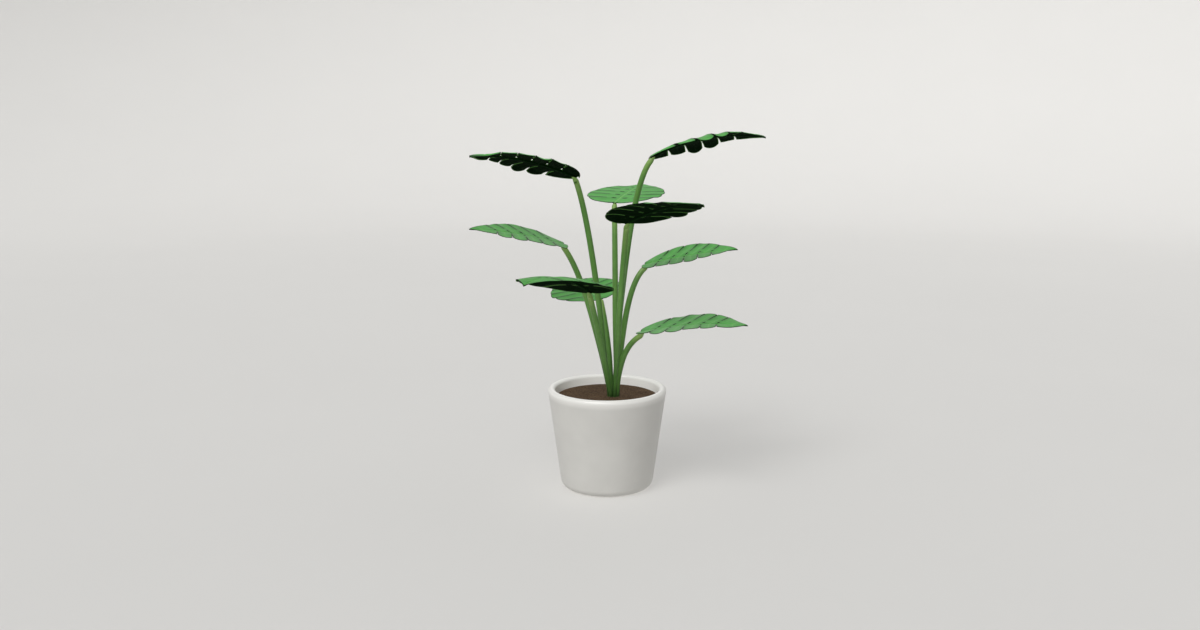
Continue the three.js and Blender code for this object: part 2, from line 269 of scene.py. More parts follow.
def strength(name, description, default):
    """A property for the strength of a light."""
    return FloatProperty(name=name, description=description, default=default, min=0)


class PotSettings(bpy.types.PropertyGroup):
    height: length("Height", "Height of the pot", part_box("pot")[1].z)
    base_radius: length("Base radius", "Radius of the outer face where it would meet the ground", 92.8 * MM)
    lip_radius: length("Lip radius", "Half the thickness of the wall and its rounded lip", 7.3 * MM)
    foot_round: length("Foot round", "Radius of the rounding round the base", 18 * MM)
    segments: IntProperty(name="Segments", description="Faces round the pot", default=144, min=24)
    glaze: colour("Glaze", "Colour of the satin glaze outside", "#c9c8c4")
    # The inner glaze is painted light: paler than the outer glaze inside the pot and, in part, on the lip.
    painted_light_glaze: colour("Inner glaze", "Colour of the glaze inside and, in part, on the lip", "#fbfaf7")


class SoilSettings(bpy.types.PropertyGroup):
    level: length("Level", "Height of the soil's surface", 188 * MM)
    relief: length("Relief", "Height of the lumps on the surface", 0.6 * MM)
    crumb: length("Crumb", "Height of the small crumbs on the surface", 0.5 * MM)
    soil: colour("Soil", "Main colour of the potting soil", "#6c5945")
    # The darker soil between the crumbs is painted shade in the hollows.
    crumb_gap_shade: colour("Dark soil", "Colour of the soil between the crumbs", "#4d3d2e")


class StalkSettings(bpy.types.PropertyGroup):
    foot_radius: length("Foot radius", "Radius where a stalk enters the soil", 3.5 * MM)
    middle_radius: length("Middle radius", "Greatest radius of a stalk", 5.9 * MM)
    tip_radius: length("Tip radius", "Radius under the blade", 5.5 * MM)
    stalk: colour("Stalk", "Main colour of a stalk", "#5b8741")
    stalk_foot: colour("Stalk foot", "Colour of a stalk near the soil", "#4c7836")
    stalk_tip: colour("Stalk tip", "Colour of the joint under the blade", "#7fa057")


class LeafSettings(bpy.types.PropertyGroup):
    length: length("Length", "Length of a blade of unit size along its midrib", 232 * MM)
    half_width: length("Half width", "Greatest distance from the midrib to the edge", 83 * MM)
    behind_stalk: length("Behind stalk", "How far a blade reaches behind its stalk", 4 * MM)
    thickness: length("Thickness", "Thickness of a blade", 1.2 * MM)
    widest_share: FloatProperty(
        name="Widest share",
        description="Share of the midrib where a blade is widest",
        default=0.4,
        min=0.1,
        max=0.9,
    )
    upper: colour("Upper face", "Main colour of the upper face", "#4f9d48")
    # The vein colour also makes the painted light line by the edge of the lower face.
    vein: colour("Veins", "Colour of the midrib and side veins on the upper face", "#7ab45f")
    # The near-black of the lower face is painted shade; a real lower face is a paler, matt green.
    under: colour("Lower face", "Colour of the lower face", "#061706")


class StageSettings(bpy.types.PropertyGroup):
    floor: colour("Floor", "Colour of the plain floor", "#d3d2d0")
    key_strength: strength("Key light", "Strength of the light that casts the shadows", 0.9)
    soft_strength: strength("Soft light", "Strength of the even light that casts no shadows", 1.9)
    world_strength: strength("World light", "Strength of the light all round", 0.28)
    key_spread: FloatProperty(
        name="Key spread",
        description="How wide both lights are",
        default=math.radians(30),
        min=0,
        subtype="ANGLE",
    )


# Materials


def add_node(tree, kind, inputs=None, stops=(), **settings):
    """Add a shader node of a kind, with its settings, and with values or links for its inputs.

    A node given for an input is linked by its first output. The stops of a colour ramp are pairs of a place
    and a linear colour.
    """
    node = tree.nodes.new(f"ShaderNode{kind}")
    for name, value in settings.items():
        setattr(node, name, value)
    for name, value in (inputs or {}).items():
        if isinstance(value, bpy.types.Node):
            value = value.outputs[0]
        if isinstance(value, bpy.types.NodeSocket):
            tree.links.new(value, node.inputs[name])
        else:
            node.inputs[name].default_value = value
    for number, (place, value) in enumerate(stops):
        elements = node.color_ramp.elements
        while len(elements) < len(stops):
            elements.new(0.5)
        elements[number].position = place
        elements[number].color = value
    return node


def new_material(name):
    """An empty node material, and the function that adds nodes to it."""
    material = bpy.data.materials.new(name)
    material.use_nodes = True
    material.node_tree.nodes.clear()
    return material, partial(add_node, material.node_tree)


def finish_material(add, inputs):
    """Close a material with a shader that has these inputs."""
    add("OutputMaterial", {"Surface": add("BsdfPrincipled", inputs)})


def masks(add, ranges):
    """Masks that are 1 where a value is under its inner bound and fade to 0 at its outer one."""
    made = {}
    for name, (value, inner, outer) in ranges.items():
        bounds = {"Value": value, "From Min": inner, "From Max": outer, "To Min": 1.0, "To Max": 0.0}
        made[name] = add("MapRange", bounds, interpolation_type="SMOOTHSTEP")
    return made


def painted(add, base, layers):
    """Lay colours over a base. Each layer is a mask, its strength and a colour."""
    for mask, share, value in layers:
        factor = add("Math", {0: mask, 1: share}, operation="MULTIPLY")
        mix = add("Mix", {0: factor, MIX_FIRST: base, MIX_SECOND: value}, data_type="RGBA")
        base = mix.outputs[MIX_RESULT]
    return base


def shaded(add, base, shades):
    """Multiply a colour by the shades of a ramp."""
    inputs = {0: 1.0, MIX_FIRST: base, MIX_SECOND: shades}
    return add("Mix", inputs, data_type="RGBA", blend_type="MULTIPLY").outputs[MIX_RESULT]


def glazed_earthenware(settings):
    """Satin white glaze on thrown earthenware: an even, soft sheen, faintly clouded and orange-peeled, with
    painted light inside and on the lip.
    """
    material, add = new_material("satin_glazed_earthenware")
    place = add("TexCoord").outputs["Object"]
    cloud = add("TexNoise", {"Vector": place, "Scale": 1 / (60 * MM), "Detail": 3.0})
    peel = add("TexNoise", {"Vector": place, "Scale": 1 / (4 * MM), "Detail": 2.0})
    tones = [(0.3, tinted(settings.glaze, 0.96)), (0.7, tinted(settings.glaze, 1.03))]
    outside = add("ValToRGB", {"Fac": cloud}, tones)
    parts = add("SeparateXYZ", {0: place}).outputs
    flat = add("CombineXYZ", {"X": parts["X"], "Y": parts["Y"]})
    radius = add("VectorMath", {0: flat}, operation="LENGTH").outputs["Value"]
    slope = {0: parts["Z"], 1: math.tan(POT_TAPER), 2: settings.base_radius}
    outer = add("Math", slope, operation="MULTIPLY_ADD")
    inwards = add("Math", {0: outer, 1: radius}, operation="SUBTRACT")
    down = add("Math", {0: settings.height, 1: parts["Z"]}, operation="SUBTRACT")
    # The paler inner glaze is painted light: it starts behind the lip, and it covers the lip itself by 45
    # percent as a painted highlight.
    lip = settings.lip_radius
    on = masks(add, {"outside": (inwards, 0.4 * lip, 1.3 * lip), "lip": (down, 0.9 * lip, 2.8 * lip)})
    fading = add("Math", {0: on["lip"], 1: -0.45, 2: 1.0}, operation="MULTIPLY_ADD")
    plain = add("Math", {0: on["outside"], 1: fading}, operation="MULTIPLY")
    body = painted(add, settings.painted_light_glaze, [(plain, 1.0, outside)])
    inputs = {
        "Base Color": body,
        "Roughness": add("MapRange", {"Value": cloud, "To Min": 0.36, "To Max": 0.46}),
        "IOR": 1.5,
        "Coat Weight": 0.15,
        "Coat Roughness": 0.22,
        "Normal": add("Bump", {"Height": peel, "Strength": 0.06, "Distance": 0.3 * MM}),
    }
    finish_material(add, inputs)
    return material


def potting_soil(settings):
    """Damp peat-based potting soil: matt brown crumbs with painted shade in the gaps, dull from every side.
    """
    material, add = new_material("damp_potting_soil")
    place = add("TexCoord").outputs["Object"]
    crumb = add("TexVoronoi", {"Vector": place, "Scale": 1 / (3.5 * MM)})
    patch = add("TexNoise", {"Vector": place, "Scale": 1 / (25 * MM), "Detail": 4.0})
    grain = add("TexNoise", {"Vector": place, "Scale": 1 / (1.2 * MM), "Detail": 3.0})
    gaps = add("Math", {0: grain, 1: 0.5, 2: crumb}, operation="MULTIPLY_ADD")
    # The gaps between the crumbs, which the bump sinks, are painted darker: painted shade.
    crumbs = add("ValToRGB", {"Fac": gaps}, [(0.3, settings.soil), (0.95, settings.crumb_gap_shade)])
    damp, dry = (0.8, 0.78, 0.76, 1), (1.12, 1.1, 1.08, 1)
    patches = add("ValToRGB", {"Fac": patch}, [(0.3, damp), (0.7, dry)])
    inputs = {
        "Base Color": shaded(add, crumbs, patches),
        "Roughness": 0.95,
        "Specular IOR Level": 0.15,
        "Normal": add("Bump", {"Height": gaps, "Strength": 0.7, "Distance": 0.8 * MM}, invert=True),
    }
    finish_material(add, inputs)
    return material


def stalk_skin(settings):
    """Smooth skin of a leaf stalk: waxy, streaked green, darker near the soil with painted shade where it
    meets it, and paler at the joint.
    """
    material, add = new_material("waxy_stalk_skin")
    parts = add("SeparateXYZ", {0: add("UVMap", uv_map="along")}).outputs
    foot = settings.stalk_foot
    tones = [
        # The first stop is painted shade where the stalk meets the soil.
        (0.005, tinted(foot, 0.4)),
        (0.06, foot),
        (0.35, settings.stalk),
        (0.8, settings.stalk),
        (0.98, settings.stalk_tip),
    ]
    body = add("ValToRGB", {"Fac": parts["Y"]}, tones)
    # The map runs once round the stalk and once along it, so 24 streaks round it are 1.5 mm wide.
    squeezed = add("Math", {0: parts["Y"], 1: 0.6}, operation="MULTIPLY")
    stretched = add("CombineXYZ", {"X": parts["X"], "Y": squeezed})
    streak = add("TexNoise", {"Vector": stretched, "Scale": 24.0, "Detail": 3.0})
    place = add("TexCoord").outputs["Object"]
    speckle = add("TexNoise", {"Vector": place, "Scale": 1 / (9 * MM), "Detail": 2.0})
    speckles = add("Math", {0: speckle, 1: 0.4}, operation="MULTIPLY")
    both = add("Math", {0: streak, 1: 0.6, 2: speckles}, operation="MULTIPLY_ADD")
    darker, paler = (0.8, 0.84, 0.76, 1), (1.15, 1.12, 1.1, 1)
    shades = add("ValToRGB", {"Fac": both}, [(0.3, darker), (0.7, paler)])
    inputs = {
        "Base Color": shaded(add, body, shades),
        "Roughness": 0.46,
        "Specular IOR Level": 0.4,
        "Normal": add("Bump", {"Height": streak, "Strength": 0.15, "Distance": 0.3 * MM}),
    }
    finish_material(add, inputs)
    return material


def leaf_lines(add):
    """The flat map of a blade, in centimetres, and masks of its veins and edges."""
    flat = add("UVMap", uv_map="flat")
    flat_parts = add("SeparateXYZ", {0: flat}).outputs
    lobe_parts = add("SeparateXYZ", {0: add("UVMap", uv_map="lobe")}).outputs
    edge_parts = add("SeparateXYZ", {0: add("UVMap", uv_map="edge")}).outputs
    to_split = edge_parts["X"]
    to_edge = add("Math", {0: to_split, 1: edge_parts["Y"]}, operation="MINIMUM")
    aside = add("Math", {0: flat_parts["Y"]}, operation="ABSOLUTE")
    off_vein = add("Math", {0: lobe_parts["X"]}, operation="ABSOLUTE")
    # At its root the midrib's line is 1.9 mm wide to each side, and a side vein's 1 mm. Both get thinner.
    rib_width = add("Math", {0: flat_parts["X"], 1: -0.006, 2: 0.19}, operation="MULTIPLY_ADD")
    vein_width = add("Math", {0: lobe_parts["Y"], 1: -0.075, 2: 0.105}, operation="MULTIPLY_ADD")
    off_rib = add("Math", {0: aside, 1: rib_width}, operation="DIVIDE")
    off_line = add("Math", {0: off_vein, 1: vein_width}, operation="DIVIDE")
    # The finer veins slant outwards from the side vein, 13 of them to its length.
    outwards = add("Math", {0: lobe_parts["Y"], 1: 7.0}, operation="MULTIPLY")
    slant = add("Math", {0: off_vein, 1: -0.9, 2: outwards}, operation="MULTIPLY_ADD")
    comb = add("Math", {0: slant, 1: 0.27}, operation="PINGPONG")
    ranges = {
        "rib": (off_rib, 0.55, 1.25),
        "vein": (off_line, 0.4, 1.4),
        "fine": (comb, 0.0, 0.07),
        "margin": (to_edge, 0.08, 0.2),
        "cut_edge": (to_edge, 0.005, 0.03),
        "beside_split": (to_split, 0.0, 0.9),
        "beside_vein": (off_vein, 0.0, 0.9),
    }
    return flat, masks(add, ranges)


def leaf_upper(settings):
    """Upper face of a mature leaf: bright green, smooth and softly waxy, with paler sunken veins."""
    material, add = new_material("waxy_leaf_upper_face")
    flat, lines = leaf_lines(add)
    # Patches of tone about 22 mm wide, and a grain of 2 mm.
    patch = add("TexNoise", {"Vector": flat, "Scale": 0.45, "Detail": 3.0})
    grain = add("TexNoise", {"Vector": flat, "Scale": 5.0, "Detail": 3.0})
    upper, vein = settings.upper, settings.vein
    field = add("ValToRGB", {"Fac": patch}, [(0.3, tinted(upper, 0.84)), (0.72, tinted(upper, 1.14))])
    layers = [
        # Deeper green beside the splits and paler green along the side veins are painted shade and light of
        # the cupped lobes.
        (lines["beside_split"], 0.6, tinted(upper, 0.58)),
        (lines["beside_vein"], 0.4, tinted(upper, 1.3)),
        (lines["fine"], 0.12, vein),
        (lines["vein"], 0.5, vein),
        (lines["rib"], 0.75, vein),
        # The near-black line along the edge is painted shade.
        (lines["margin"], 0.85, tinted(upper, 0.12)),
    ]
    sunken = add("Math", {0: lines["vein"], 1: -1.0}, operation="MULTIPLY")
    groove = add("Math", {0: lines["fine"], 1: -0.3, 2: sunken}, operation="MULTIPLY_ADD")
    height = add("Math", {0: grain, 1: 0.35, 2: groove}, operation="MULTIPLY_ADD")
    inputs = {
        "Base Color": painted(add, field, layers),
        "Roughness": 0.46,
        "Specular IOR Level": 0.28,
        "Normal": add("Bump", {"Height": height, "Strength": 0.4, "Distance": 0.5 * MM}),
    }
    finish_material(add, inputs)
    return material


def leaf_under(settings):
    """Lower face and edge of a leaf: matt, painted near-black for shade, with raised veins and a painted
    light line by the edge.
    """
    material, add = new_material("matt_leaf_lower_face")
    flat, lines = leaf_lines(add)
    # Patches of tone about 17 mm wide, in the near-black that is painted shade.
    patch = add("TexNoise", {"Vector": flat, "Scale": 0.6, "Detail": 3.0})
    under = settings.under
    field = add("ValToRGB", {"Fac": patch}, [(0.3, tinted(under, 0.75)), (0.72, tinted(under, 1.3))])
    layers = [
        (lines["vein"], 0.35, tinted(under, 2.6)),
        (lines["rib"], 0.6, tinted(under, 3.2)),
        # The pale line inside the edge is painted light; the edge itself gets back the near-black painted
        # shade.
        (lines["margin"], 0.5, settings.vein),
        (lines["cut_edge"], 1.0, under),
    ]
    height = add("Math", {0: lines["fine"], 1: 0.3, 2: lines["vein"]}, operation="MULTIPLY_ADD")
    inputs = {
        "Base Color": painted(add, field, layers),
        "Roughness": 0.9,
        "Specular IOR Level": 0.02,
        "Normal": add("Bump", {"Height": height, "Strength": 0.4, "Distance": 0.5 * MM}),
    }
    finish_material(add, inputs)
    return material


def matt_paint(settings):
    """Matt painted studio floor: even and pale, with only a breath of tone in patches of about 0.7 m."""
    material, add = new_material("matt_studio_paint")
    place = add("TexCoord").outputs["Object"]
    tone = add("TexNoise", {"Vector": place, "Scale": 1.5, "Detail": 2.0})
    body = add("ValToRGB", {"Fac": tone}, [(0.3, tinted(settings.floor, 0.99)), (0.7, settings.floor)])
    finish_material(add, {"Base Color": body, "Roughness": 0.85, "Specular IOR Level": 0.2})
    return material


# Shapes


def new_object(name, bm, materials=()):
    """Make an object of a bmesh."""
    mesh = bpy.data.meshes.new(name)
    bm.to_mesh(mesh)
    bm.free()
    for material in materials:
        mesh.materials.append(material)
    made = bpy.data.objects.new(name, mesh)
    bpy.context.scene.collection.objects.link(made)
    return made


def add_piece(name, bm, materials, node):
    """Make a smooth shaded piece of a bmesh, that stands for a CAD node."""
    piece = new_object(name, bm, materials)
    piece.data.shade_smooth()
    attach(piece, BODY)
    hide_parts(node)
    return piece


def arc(centre_x, centre_z, radius, start, end, steps):
    """Points of an arc in the XZ plane. The angles are in degrees, anticlockwise from +X."""
    points = []
    for i in range(steps + 1):
        angle = math.radians(lerp(start, end, i / steps))
        points.append(Vector((centre_x + radius * math.cos(angle), 0, centre_z + radius * math.sin(angle))))
    return points


def spun(profile, segments):
    """A bmesh of a profile turned round the Z axis, with its poles and seam closed."""
    bm = bmesh.new()
    chain = [bm.verts.new(point) for point in profile]
    edges = [bm.edges.new(pair) for pair in zip(chain, chain[1:])]
    bmesh.ops.spin(
        bm,
        geom=chain + edges,
        cent=(0, 0, 0),
        axis=(0, 0, 1),
        angle=2 * math.pi,
        steps=segments,
        use_merge=True,
    )
    bmesh.ops.remove_doubles(bm, verts=bm.verts, dist=1e-6)
    bmesh.ops.recalc_face_normals(bm, faces=bm.faces)
    return bm


def wall_radius(settings, height, inwards):
    """Radius of the pot's tapered faces at a height, measured inwards from the outer face."""
    return settings.base_radius + height * math.tan(POT_TAPER) - inwards / math.cos(POT_TAPER)


def pot_profile(settings):
    """Half outline of the pot, from the middle of its base over the lip to the middle of its floor."""
    foot_round, lip_radius = settings.foot_round, settings.lip_radius
    taper = math.degrees(POT_TAPER)
    lip_height = settings.height - lip_radius
    inner_height = POT_FLOOR + POT_INNER_ROUND
    foot_x = wall_radius(settings, foot_round, foot_round)
    lip_x = wall_radius(settings, lip_height, lip_radius)
    inner_x = wall_radius(settings, inner_height, 2 * lip_radius + POT_INNER_ROUND)
    profile = [Vector((0, 0, 0))]
    profile += arc(foot_x, foot_round, foot_round, -90, -taper, FOOT_STEPS)
    profile += arc(lip_x, lip_height, lip_radius, -taper, 180 - taper, LIP_STEPS)
    profile += arc(inner_x, inner_height, POT_INNER_ROUND, -taper, -90, CORNER_STEPS)
    profile.append(Vector((0, 0, POT_FLOOR)))
    return profile


def drill_drainage(pot):
    """Cut the drainage holes through the floor of the pot."""
    drill = bmesh.new()
    for i in range(DRAIN_COUNT):
        angle = 2 * math.pi * i / DRAIN_COUNT
        bmesh.ops.create_cone(
            drill,
            cap_ends=True,
            segments=DRAIN_SIDES,
            radius1=DRAIN_RADIUS,
            radius2=DRAIN_RADIUS,
            depth=4 * POT_FLOOR,
            matrix=Matrix.Translation((DRAIN_RING * math.cos(angle), DRAIN_RING * math.sin(angle), 0)),
        )
    cutter = new_object("drill", drill)
    cut = pot.modifiers.new("drainage", "BOOLEAN")
    cut.object = cutter
    cut.solver = "EXACT"
    shaped = pot.evaluated_get(bpy.context.evaluated_depsgraph_get())
    pot.data = bpy.data.meshes.new_from_object(shaped)
    pot.modifiers.clear()
    bpy.data.objects.remove(cutter)


def soil_lump(x, y):
    """Pattern of the soil's broad lumps at a place in millimetres, from -1.4 to 1.4.

    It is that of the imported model, where the lumps are nearly twice as high.
    """
    return math.sin(0.09 * x + 0.05 * y) * math.cos(0.07 * y - 0.04 * x) + 0.4 * math.sin(0.21 * x)


def soil_height(settings, point, rim):
    """How far the surface of the soil stands above its level at a point."""
    x, y = point.x / MM, point.y / MM
    from_clump = Vector((point.x - CLUMP_CENTRE.x, point.y - CLUMP_CENTRE.y)).length / MM
    lumps = settings.relief * soil_lump(x, y) * smooth_share(from_clump, LUMPS_START, LUMPS_FULL)
    grain = Vector((x, y, CRUMB_SLICE)) / CRUMB_SIZE
    crumbs = noise.fractal(grain, CRUMB_ROUGHNESS, CRUMB_SHRINKAGE, CRUMB_LAYERS)
    edge = smooth_share(point.xy.length, rim - SOIL_DIP_WIDTH, rim)
    return (lumps + settings.crumb * crumbs) * (1 - SOIL_CALM * edge) - SOIL_DIP * edge


def ridge(offset, height, width):
    """Height of a soft ridge at a distance from its middle."""
    return height * math.exp(-((offset / width) ** 2))


def arched(settings, leaf, point):
    """Lay a flat point on the arched midrib."""
    total = math.radians(leaf.arch)
    bend = total * max(point.x, 0) / settings.length
    radius = settings.length / total
    return Vector(
        (
            radius * math.sin(bend) + min(point.x, 0) + point.z * math.sin(bend),
            point.y,
            -radius * (1 - math.cos(bend)) + point.z * math.cos(bend),
        )
    )


def blade_place(leaf):
    """Matrix of a blade: sized, rolled about its midrib, raised, turned and moved to its stalk's top."""
    return (
        Matrix.Translation(leaf.tip)
        @ Matrix.Rotation(math.radians(leaf.turn), 4, "Z")
        @ Matrix.Rotation(-math.radians(leaf.rise), 4, "Y")
        @ Matrix.Rotation(math.radians(leaf.roll), 4, "X")
        @ Matrix.Scale(leaf.size, 4)
    )


def curve_point(start, bend, top, share):
    """Point and direction on the even bend of a stalk."""
    point = start * (1 - share) ** 2 + bend * 2 * share * (1 - share) + top * share**2
    direction = (bend - start) * 2 * (1 - share) + (top - bend) * 2 * share
    return point, direction.normalized()


def foot_place(leaf):
    """Where a stalk comes out of the soil."""
    if leaf.ring is None:
        return CLUMP_CENTRE.copy()
    angle = math.radians(CLUMP_FIRST + 360 * leaf.ring / (len(LEAVES) - 1))
    return CLUMP_CENTRE + Vector((math.cos(angle), math.sin(angle), 0)) * CLUMP_RING


def stalk_end(leaf, leaf_settings, settings):
    """Where the bend of a stalk ends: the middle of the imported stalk's round tip, close below the blade."""
    underside = (leaf_settings.thickness / 2 + RIB_BASE_DEPTH) * leaf.size
    corner_aside = underside * math.sin(math.radians(leaf.rise))
    corner_drop = underside * math.cos(math.radians(leaf.rise))
    end = Vector(leaf.tip)
    end.z -= corner_drop + math.sqrt((settings.tip_radius + SEAT_GAP) ** 2 - corner_aside**2)
    return end


def stalk_stations(leaf, leaf_settings, settings):
    """Middle, direction, radius and share of each ring of a stalk, from its foot to under the blade."""
    foot = foot_place(leaf)
    start = foot + Vector((0, 0, STRAIGHT_ABOVE_SOIL))
    end = stalk_end(leaf, leaf_settings, settings)
    shares = (leaf.lean, leaf.lean, leaf.climb)
    bend = Vector([lerp(low, high, share) for low, high, share in zip(start, end, shares)])
    stations = [(foot - Vector((0, 0, CLUMP_DEPTH)), Vector((0, 0, 1)), settings.foot_radius, 0.0)]
    for i in range(BEND_STEPS + 1):
        share = i / BEND_STEPS
        point, direction = curve_point(start, bend, end, share)
        radius = lerp(settings.foot_radius, settings.middle_radius, smooth_share(share, 0, THICKEST_SHARE))
        radius = lerp(radius, settings.tip_radius, smooth_share(share, THICKEST_SHARE, 1))
        stations.append((point, direction, radius, share))
    for i in range(1, JOINT_STEPS + 1):
        share = i / JOINT_STEPS
        below = lerp(settings.tip_radius, JOINT_END_DEPTH, share)
        under = Vector((JOINT_REACH * share**JOINT_EASE, 0, -below))
        point = blade_place(leaf) @ arched(leaf_settings, leaf, under)
        point = point.lerp(end, (1 - share) ** 3)
        direction = (point - stations[-1][0]).normalized()
        radius = lerp(settings.tip_radius, JOINT_END_RADIUS, smooth_share(share, 0, 1))
        stations.append((point, direction, radius, 1.0))
    return stations


def ring_place(point, direction, radius):
    """Matrix that lays a unit circle square to a stalk at one of its stations."""
    aside = Vector((1, 0, 0))
    aside = (aside - direction * aside.dot(direction)).normalized()
    over = direction.cross(aside)
    turned = Matrix((aside, over, direction)).transposed().to_4x4()
    return Matrix.Translation(point) @ turned @ Matrix.Scale(radius, 4)


def stalk_tube(stations):
    """A bmesh of a closed tube through the stations of a stalk, with a map of its turns and shares."""
    bm = bmesh.new()
    uv = bm.loops.layers.uv.new("along")
    ring = bmesh.ops.create_circle(bm, cap_ends=True, radius=1, segments=STALK_SIDES)["verts"]
    edges = list(bm.edges)
    turns, shares = {}, {}
    previous = Matrix.Identity(4)
    for number, (point, direction, radius, share) in enumerate(stations):
        if number:
            grown = bmesh.ops.extrude_edge_only(bm, edges=edges)["geom"]
            ring = [part for part in grown if isinstance(part, bmesh.types.BMVert)]
            edges = [part for part in grown if isinstance(part, bmesh.types.BMEdge)]
            edges = [edge for edge in edges if all(vertex in ring for vertex in edge.verts)]
        place = ring_place(point, direction, radius)
        bmesh.ops.transform(bm, matrix=place @ previous.inverted(), verts=ring)
        previous = place
        to_circle = place.inverted()
        for vertex in ring:
            local = to_circle @ vertex.co
            turns[vertex] = (math.atan2(local.y, local.x) / (2 * math.pi)) % 1
            shares[vertex] = share
    bmesh.ops.contextual_create(bm, geom=edges)
    bmesh.ops.recalc_face_normals(bm, faces=bm.faces)
    for face in bm.faces:
        face_turns = [turns[loop.vert] for loop in face.loops]
        wraps = max(face_turns) - min(face_turns) > 0.5
        for loop, turn in zip(face.loops, face_turns):
            loop[uv].uv = (turn + 1 if wraps and turn < 0.5 else turn, shares[loop.vert])
    return bm


def variety(leaf_index, side, lobe):
    """Steady variety from -1 to 1 for each leaf, side and lobe."""
    return math.sin(7.3 * leaf_index + 3.1 * side + 1.7 * lobe + 0.6)


def half_width(settings, x):
    """Half width of a flat blade at a distance x along the midrib."""
    span = settings.length + settings.behind_stalk
    along = (x + settings.behind_stalk) / span
    widest = (settings.widest_share * settings.length + settings.behind_stalk) / span
    if along <= 0 or along >= 1:
        return 0
    if along < widest:
        return settings.half_width * math.sqrt(1 - ((widest - along) / widest) ** 2)
    return settings.half_width * math.cos(0.5 * math.pi * (along - widest) / (1 - widest))


def vein_angle(share, lobe, across):
    """Angle between the midrib and the side vein that starts at a share of its length."""
    fanned = VEIN_ANGLE + VEIN_FAN * (VEIN_FAN_CENTRE - share)
    return math.radians(lerp(VEIN_BASE_ANGLE, fanned, across) if lobe == 0 else fanned)


def vein_length(settings, share, angle):
    """Length of a side vein from the midrib to the edge of the blade, found by halving."""
    inside, outside = 0.0, 2 * settings.half_width
    for _ in range(HALVINGS):
        middle = (inside + outside) / 2
        x = share * settings.length + middle * math.cos(angle)
        if middle * math.sin(angle) < half_width(settings, x):
            inside = middle
        else:
            outside = middle
    return inside


def opening_at(row, gape):
    """Half width of a hole or split at a share of a side vein. gape is how far the splits open."""
    if HOLE_START < row < HOLE_END:
        middle = (HOLE_START + HOLE_END) / 2
        return HOLE_HALF_WIDTH * math.sqrt(1 - ((row - middle) / (HOLE_END - middle)) ** 2)
    if row <= SPLIT_START:
        return 0.0
    inner, outer = SPLIT_HALF_WIDTHS
    if row < SPLIT_MIDDLE:
        return gape * lerp(0, inner, (row - SPLIT_START) / (SPLIT_MIDDLE - SPLIT_START))
    return gape * lerp(inner, outer, (row - SPLIT_MIDDLE) / (1 - SPLIT_MIDDLE))


def blade_lobe(bm, maps, settings, leaf, leaf_index, side, lobe):
    """Add one lobe of a blade: a grid laid between two splits, from the midrib to the edge."""
    last = len(SPLITS) - 2
    made = bmesh.ops.create_grid(bm, x_segments=LOBE_COLUMNS, y_segments=LOBE_ROWS, size=0.5)["verts"]
    character = variety(leaf_index, side, lobe)
    start_share, end_share = SPLITS[lobe], SPLITS[lobe + 1]
    spread = (end_share - start_share) * settings.length
    lengths = {}
    for vertex in made:
        across, row = vertex.co.x + 0.5, (vertex.co.y + 0.5) ** ROW_CROWDING
        gap = opening_at(row, leaf.gape) / spread
        from_start = gap if lobe > 0 else 0
        from_end = gap if lobe < last else 0
        placed = lerp(from_start, 1 - from_end, across)
        share = lerp(start_share, end_share, placed)
        angle = vein_angle(share, lobe, placed)
        key = round(share, 6)
        if key not in lengths:
            lengths[key] = vein_length(settings, share, angle)
        own = leaf.gape * LOBE_VARIETY * character * smooth_share(row, SPLIT_START, SPLIT_MIDDLE)
        full_length = lengths[key] * (1 + own)
        at_split = abs(2 * across - 1)
        plain_side = (lobe == 0 and across < 0.5) or (lobe == last and across > 0.5)
        rounded = 0 if plain_side else at_split**3
        edge = 1 - leaf.gape * LOBE_ROUND * rounded * smooth_share(row, SPLIT_MIDDLE, 1)
        reach = row * edge * full_length
        x = share * settings.length + reach * math.cos(angle)
        y = reach * math.sin(angle)
        off_vein = (placed - 0.5) * spread * math.sin(angle)
        vein_fade = 1 - smooth_share(row, VEIN_FADE_START, VEIN_FADE_END)

        cup = leaf.gape * CUP * (1 - at_split**2) * min(1, reach / (CUP_REACH * settings.half_width))
        droop = leaf.gape * LOBE_DROOP * character * row**2 * (1 - at_split**2)
        droop += leaf.curl * max(0, (row - LOBE_CURL_START) / (1 - LOBE_CURL_START)) ** 2
        groove = ridge(off_vein, VEIN_GROOVE, VEIN_GROOVE_WIDTH) * vein_fade
        groove += ridge(y, MIDRIB_GROOVE, MIDRIB_GROOVE_WIDTH)
        wave = Vector((x * SWELLS_PER_METRE, y * SWELLS_PER_METRE, leaf_index * SWELL_STEP + side))
        swell = noise.noise(wave) * SWELL * smooth_share(row, 0, SWELL_FULL)
        z = y * math.sin(math.radians(leaf.fold)) - leaf.droop * y * y / settings.half_width
        vertex.co = Vector((x, side * y, z + swell - cup - droop - groove))

        rib = ridge(y, lerp(RIB_BASE_DEPTH, RIB_TIP_DEPTH, share), RIB_WIDTH)
        raised_vein = ridge(off_vein, VEIN_RIDGE, VEIN_RIDGE_WIDTH) * vein_fade
        thinning = lerp(1, THIN_EDGE, smooth_share(row, THIN_EDGE_START, 1))
        depth = settings.thickness * thinning + max(rib, raised_vein)
        to_side = min(across, 1 - across) * spread * math.sin(angle)
        if not gap and not plain_side:
            to_side = FAR_FROM_SPLIT
        to_margin = (1 - row) * full_length
        maps[vertex] = (
            (CM_PER_METRE * x, CM_PER_METRE * side * y),
            (CM_PER_METRE * off_vein, row),
            (CM_PER_METRE * to_side, CM_PER_METRE * to_margin),
            depth,
        )
    if side < 0:
        bmesh.ops.reverse_faces(bm, faces=list({face for vertex in made for face in vertex.link_faces}))


